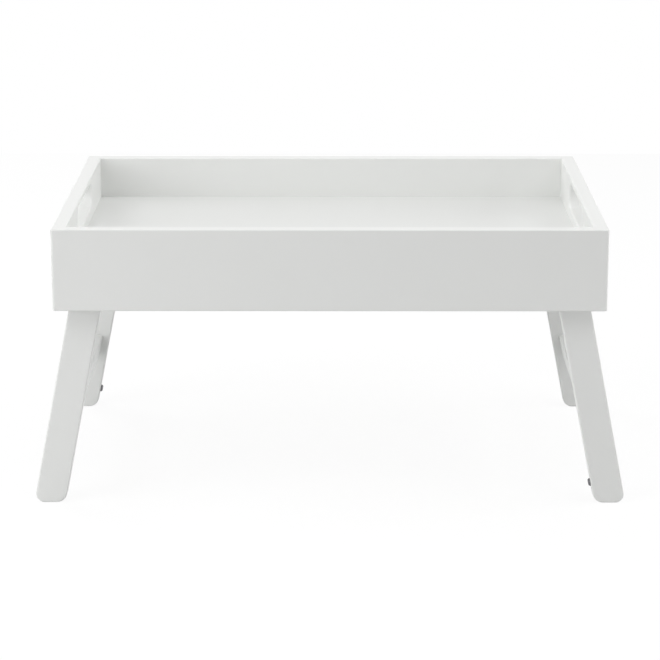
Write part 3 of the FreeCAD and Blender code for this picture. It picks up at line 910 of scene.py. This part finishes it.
@dataclass(frozen=True)
class Collar:
    """A ring with softened edges, and a thread outside where it has a pitch."""

    diameter: float
    bore: float
    length: float
    softening: float = 0.25
    thread_pitch: float = 0.0
    thread_depth: float = 0.0
    thread_run: float = 1.0
    ring_step: float = 4.0

    def skin(self) -> Skin:
        """Turn the ring's section round the axis and cut the thread where there is one.

        Returns:
            The ring's surface, from nought up to its length.
        """
        outer, inner = self.diameter / 2, self.bore / 2
        corners = np.array([(outer, 0.0), (outer, self.length), (inner, self.length), (inner, 0.0)])
        section = softened(corners, self.softening, looped=True)
        profile = divided(np.vstack([section, section[:1]]), self.ring_step)[:-1]
        radius, height = profile[:, :1], profile[:, 1:]
        if self.thread_pitch:
            outside = radius > outer - self.softening
            cut = outside * gate(height, 0.0, self.length, self.thread_run)
            radius = radius - self.thread_depth * cut * screw_groove(height, self.thread_pitch)
        return skin_of(radius, height, looped=True)


@dataclass(frozen=True)
class Disc:
    """A flat disc with softened edges."""

    diameter: float
    thickness: float
    softening: float = 0.35

    def skin(self) -> Skin:
        """Turn the disc's edge and close both faces.

        Returns:
            The disc's surface, from nought up to its thickness.
        """
        radius = self.diameter / 2
        corners = np.array([
            (radius / 2, 0.0), (radius, 0.0), (radius, self.thickness), (radius / 2, self.thickness)
        ])
        profile = softened(corners, self.softening)
        return skin_of(profile[:, :1], profile[:, 1:])


# Sub-assemblies


def pivot_of(side: Side) -> tuple[float, float]:
    """Where a leg frame turns.

    Args:
        side: The frame's side.

    Returns:
        X and Z of its hinge, in millimetres.
    """
    places = {joint["name"]: joint["pos_m"] for joint in frame["joints"]}
    x, _, z = places[f"{side.word}_fold"]
    return x / MM, z / MM


@dataclass(frozen=True)
class Tray:
    """The walled tray: four boards round a floor panel, with its dowels, pivots and magnets."""

    inner_half_depth: float = 166.5
    dowel: Dowel = Dowel(6.0, 28.0)
    dowel_x: float = 243.25
    dowel_heights: tuple[float, float] = (200.06, 247.06)
    dowel_in_end_board: float = 19.0
    bolt: PivotBolt = PivotBolt()
    insert: Collar = Collar(
        9.5, 6.0, 10.5, thread_pitch=1.75, thread_depth=0.6, thread_run=0.8, ring_step=0.3
    )
    spacer: Collar = Collar(18.0, 8.2, 1.0)
    washer: Collar = Collar(16.0, 8.2, 1.2)
    magnet: Disc = Disc(10.0, 2.5)

    def build(self) -> None:
        """Finish the boards and the panel and fit everything that is fixed to them."""
        for end in End:
            dress(f"{end.word}_board", LONG_BOARD_LACQUER)
        for side in Side:
            dress(f"{side.word}_end_board", END_BOARD_LACQUER)
        dress("floor_panel", PANEL_LACQUER)
        self.fit_dowels()
        self.fit_pivots()
        self.fit_magnets()

    def fit_dowels(self) -> None:
        """Two dowels in each corner, from inside the end board into the long board."""
        start = self.inner_half_depth - self.dowel_in_end_board
        spots = [
            Spot((side.value * self.dowel_x, end.value * start, height), (0.0, end.value, 0.0))
            for side in Side for end in End for height in self.dowel_heights
        ]
        fit("corner_dowels", "fluted_corner_dowels", "tray", self.dowel.skin(), spots, BEECH)

    def pivot_spots(self, depth: float) -> list[Spot]:
        """The four pivots' axes, pointing inwards, no two turned alike.

        Args:
            depth: How far in from the long boards' inner faces the spots lie.

        Returns:
            One spot for each pivot.
        """
        corners = [(pivot_of(side), end.value) for side in Side for end in End]
        y = self.inner_half_depth - depth
        return [
            Spot((x, sign * y, z), (0.0, -sign, 0.0), GOLDEN_TURN * number)
            for number, ((x, z), sign) in enumerate(corners)
        ]

    def fit_pivots(self) -> None:
        """At each pivot an insert in the board, a bolt in it, a spacer and a washer on it."""
        washer_start = self.bolt.shoulder_length - self.washer.length
        for node, name, part, depth, finish in (
            ("pivot_bolts", "socket_head_pivot_bolts", self.bolt, 0.0, ZINC),
            ("pivot_inserts", "threaded_pivot_inserts", self.insert, -self.insert.length, BRASS),
            ("pivot_spacers", "soft_edged_pivot_spacers", self.spacer, 0.0, NYLON),
            ("pivot_washers", "soft_edged_pivot_washers", self.washer, washer_start, ZINC),
        ):
            fit(node, name, "tray", part.skin(), self.pivot_spots(depth), finish)

    def fit_magnets(self) -> None:
        """A magnet flush with the panel's underside, over each folded frame's catch screw."""
        for side in Side:
            node = f"{side.word}_catch_magnet"
            low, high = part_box(node)
            middle = (low + high) / 2
            spot = Spot((middle.x / MM, middle.y / MM, low.z / MM), UP)
            fit(node, f"{side.word}_plated_magnet", "tray", self.magnet.skin(), [spot], NICKEL)


@dataclass(frozen=True)
class LegFrame:
    """Two legs and their crossbar, which fold under one end of the tray."""

    side: Side
    leg_width: float = 28.4
    leg_inner_y: float = 151.4
    leg_outer_y: float = 165.4
    bar_from_sole: float = 69.5
    catch_from_sole: float = 21.3
    dowel: Dowel = Dowel(5.0, 21.0)
    dowel_spacing: float = 10.0
    dowel_in_bar: float = 12.0
    bush: Collar = Collar(11.1, 8.1, 14.0)
    screw: CatchScrew = CatchScrew()

    def build(self) -> None:
        """Finish the legs and the crossbar and fit the dowels, the bushes and the catch."""
        word = self.side.word
        for end in End:
            dress(f"{word}_{end.word}_leg", LEG_LACQUERS[self.side])
        dress(f"{word}_crossbar", CROSSBAR_LACQUER)
        self.fit_dowels()
        self.fit_bushes()
        self.fit_catch_screw()

    def place(self, from_sole: float, inward: float = 0.0) -> tuple[float, float]:
        """A point of the splayed leg, by how far it is from the sole and from the middle line.

        Args:
            from_sole: The distance from the sole along the leg.
            inward: The distance from the leg's middle line towards the tray's middle.

        Returns:
            X and Z of the point.
        """
        x, z = pivot_of(self.side)
        tilt = math.radians(LEG_TILT)
        down = z / math.cos(tilt) - from_sole
        outward = down * math.sin(tilt) - inward * math.cos(tilt)
        return x + self.side.value * outward, z - down * math.cos(tilt) - inward * math.sin(tilt)

    def fit_part(
        self, node: str, name: str, skin: Skin, spots: Sequence[Spot], finish: FittingFinish
    ) -> None:
        """Fit a piece that rides on this frame, by its names without the side's word."""
        word = self.side.word
        fit(f"{word}_{node}", f"{word}_{name}", self.side.leg_frame, skin, spots, finish)

    def fit_dowels(self) -> None:
        """Two dowels at each end of the crossbar, from the bar into the leg."""
        start = self.leg_inner_y - self.dowel_in_bar
        spots = []
        for end in End:
            for sign in (-1, 1):
                x, z = self.place(self.bar_from_sole + sign * self.dowel_spacing / 2)
                spots.append(Spot((x, end.value * start, z), (0.0, end.value, 0.0)))
        self.fit_part("crossbar_dowels", "fluted_bar_dowels", self.dowel.skin(), spots, BEECH)

    def fit_bushes(self) -> None:
        """A bush through each leg, round the pivot bolt."""
        x, z = pivot_of(self.side)
        spots = [
            Spot((x, end.value * self.leg_outer_y, z), (0.0, -end.value, 0.0)) for end in End
        ]
        self.fit_part("pivot_bushes", "turned_bushes", self.bush.skin(), spots, BRASS)

    def fit_catch_screw(self) -> None:
        """The catch screw in the inner edge of one leg, its head towards the tray's middle."""
        sign = self.side.value
        x, z = self.place(self.catch_from_sole, self.leg_width / 2)
        y = -sign * (self.leg_inner_y + self.leg_outer_y) / 2
        tilt = math.radians(LEG_TILT)
        inwards = (-sign * math.cos(tilt), 0.0, -math.sin(tilt))
        spot = Spot((x, y, z), inwards, GOLDEN_TURN * sign)
        self.fit_part("catch_screw", "pan_head_screw", self.screw.skin(), [spot], BURNISHED)


# Studio


@dataclass(frozen=True)
class Lamp:
    """A square softbox that looks at the middle of the table."""

    name: str
    place: Point
    size: float
    watts: float
    aim: Point = (0.0, 0.0, 0.16)

    def build(self) -> None:
        """Hang the lamp and turn it to its aim."""
        data = bpy.data.lights.new(self.name, "AREA")
        data.shape = "SQUARE"
        data.size = self.size
        data.energy = self.watts
        lamp = add_object(self.name, data)
        lamp.location = self.place
        sight = Vector(self.aim) - Vector(self.place)
        lamp.rotation_euler = sight.to_track_quat("-Z", "Y").to_euler()


@dataclass(frozen=True)
class Studio:
    """A pale floor in a white room, with softboxes round the table."""

    room_light: float = 0.2
    floor_colour: Colour = (0.75, 0.75, 0.75, 1.0)
    floor_half_width: float = 1.6
    floor_white: float = 1.06
    shadow_share: float = 0.15
    lamps: tuple[Lamp, ...] = (
        Lamp("left_front_low_softbox", (-1.8, -2.2, 0.7), 1.2, 4.8),
        Lamp("left_softbox", (-2.0, -1.8, 1.3), 1.4, 9.4),
        Lamp("left_low_softbox", (-2.2, -1.2, 0.6), 1.2, 12.9),
        Lamp("left_high_softbox", (-1.6, -1.2, 2.2), 1.4, 15.8),
        Lamp("left_rear_softbox", (-1.8, 1.8, 1.6), 1.4, 21.3),
        Lamp("right_high_softbox", (1.6, -1.2, 2.2), 1.4, 14.8),
        Lamp("right_end_softbox", (2.6, 0.0, 0.8), 1.4, 29.1),
        Lamp("top_softbox", (0.0, 0.3, 2.4), 1.8, 15.0),
    )

    def build(self) -> None:
        """Make the room, the floor and the lamps."""
        self.build_world()
        self.build_floor()
        for lamp in self.lamps:
            lamp.build()

    def build_world(self) -> None:
        """A white room, which lights the table only a little from all round."""
        shader = Shader(bpy.data.worlds.new("white_room"), "ShaderNodeOutputWorld")
        light = shader.add("ShaderNodeBackground", Color=WHITE, Strength=self.room_light)
        white = shader.add("ShaderNodeBackground", Color=WHITE, Strength=1.0)
        bpy.context.scene.world = shader.finish(shader.switch(shader.shown(), light, white))

    def build_floor(self) -> None:
        """A floor that looks white but keeps a faint shadow of the table."""
        half = self.floor_half_width
        corners = [(-half, -half, 0.0), (half, -half, 0.0), (half, half, 0.0), (-half, half, 0.0)]
        mesh = bpy.data.meshes.new("floor")
        mesh.from_pydata(corners, [], [(0, 1, 2, 3)])
        floor = add_object("floor", mesh)
        shader = Shader(bpy.data.materials.new("pale_floor"))
        lit = shader.add("ShaderNodeBsdfDiffuse", Color=self.floor_colour)
        white = shader.add("ShaderNodeEmission", Color=WHITE, Strength=self.floor_white)
        share = shader.math("MULTIPLY", shader.shown(), 1.0 - self.shadow_share)
        mesh.materials.append(shader.finish(shader.switch(share, lit, white)))


@dataclass(frozen=True)
class Viewpoint:
    """The photograph's camera: far off, a little above, and almost square to the front."""

    place: Point = (0.0067, -2.3688, 0.7365)
    pitch: float = 14.54
    yaw: float = 0.17
    focal_pixels: float = 2506.0
    frame_pixels: int = 660
    sensor_mm: float = 36.0

    def build(self) -> None:
        """Set up the camera and make it the scene's."""
        data = bpy.data.cameras.new("camera")
        data.sensor_width = self.sensor_mm
        data.lens = self.focal_pixels / self.frame_pixels * self.sensor_mm
        camera = add_object("camera", data)
        camera.location = self.place
        camera.rotation_euler = (math.radians(UPRIGHT - self.pitch), 0.0, math.radians(self.yaw))
        bpy.context.scene.camera = camera


def main() -> None:
    """Dress the table and set the studio round it."""
    logging.basicConfig(level=logging.INFO, format="%(message)s")
    bpy.context.scene.view_settings.view_transform = "Standard"
    Viewpoint().build()
    Tray().build()
    for side in Side:
        LegFrame(side).build()
    Studio().build()


if __name__ == "__main__":
    main()
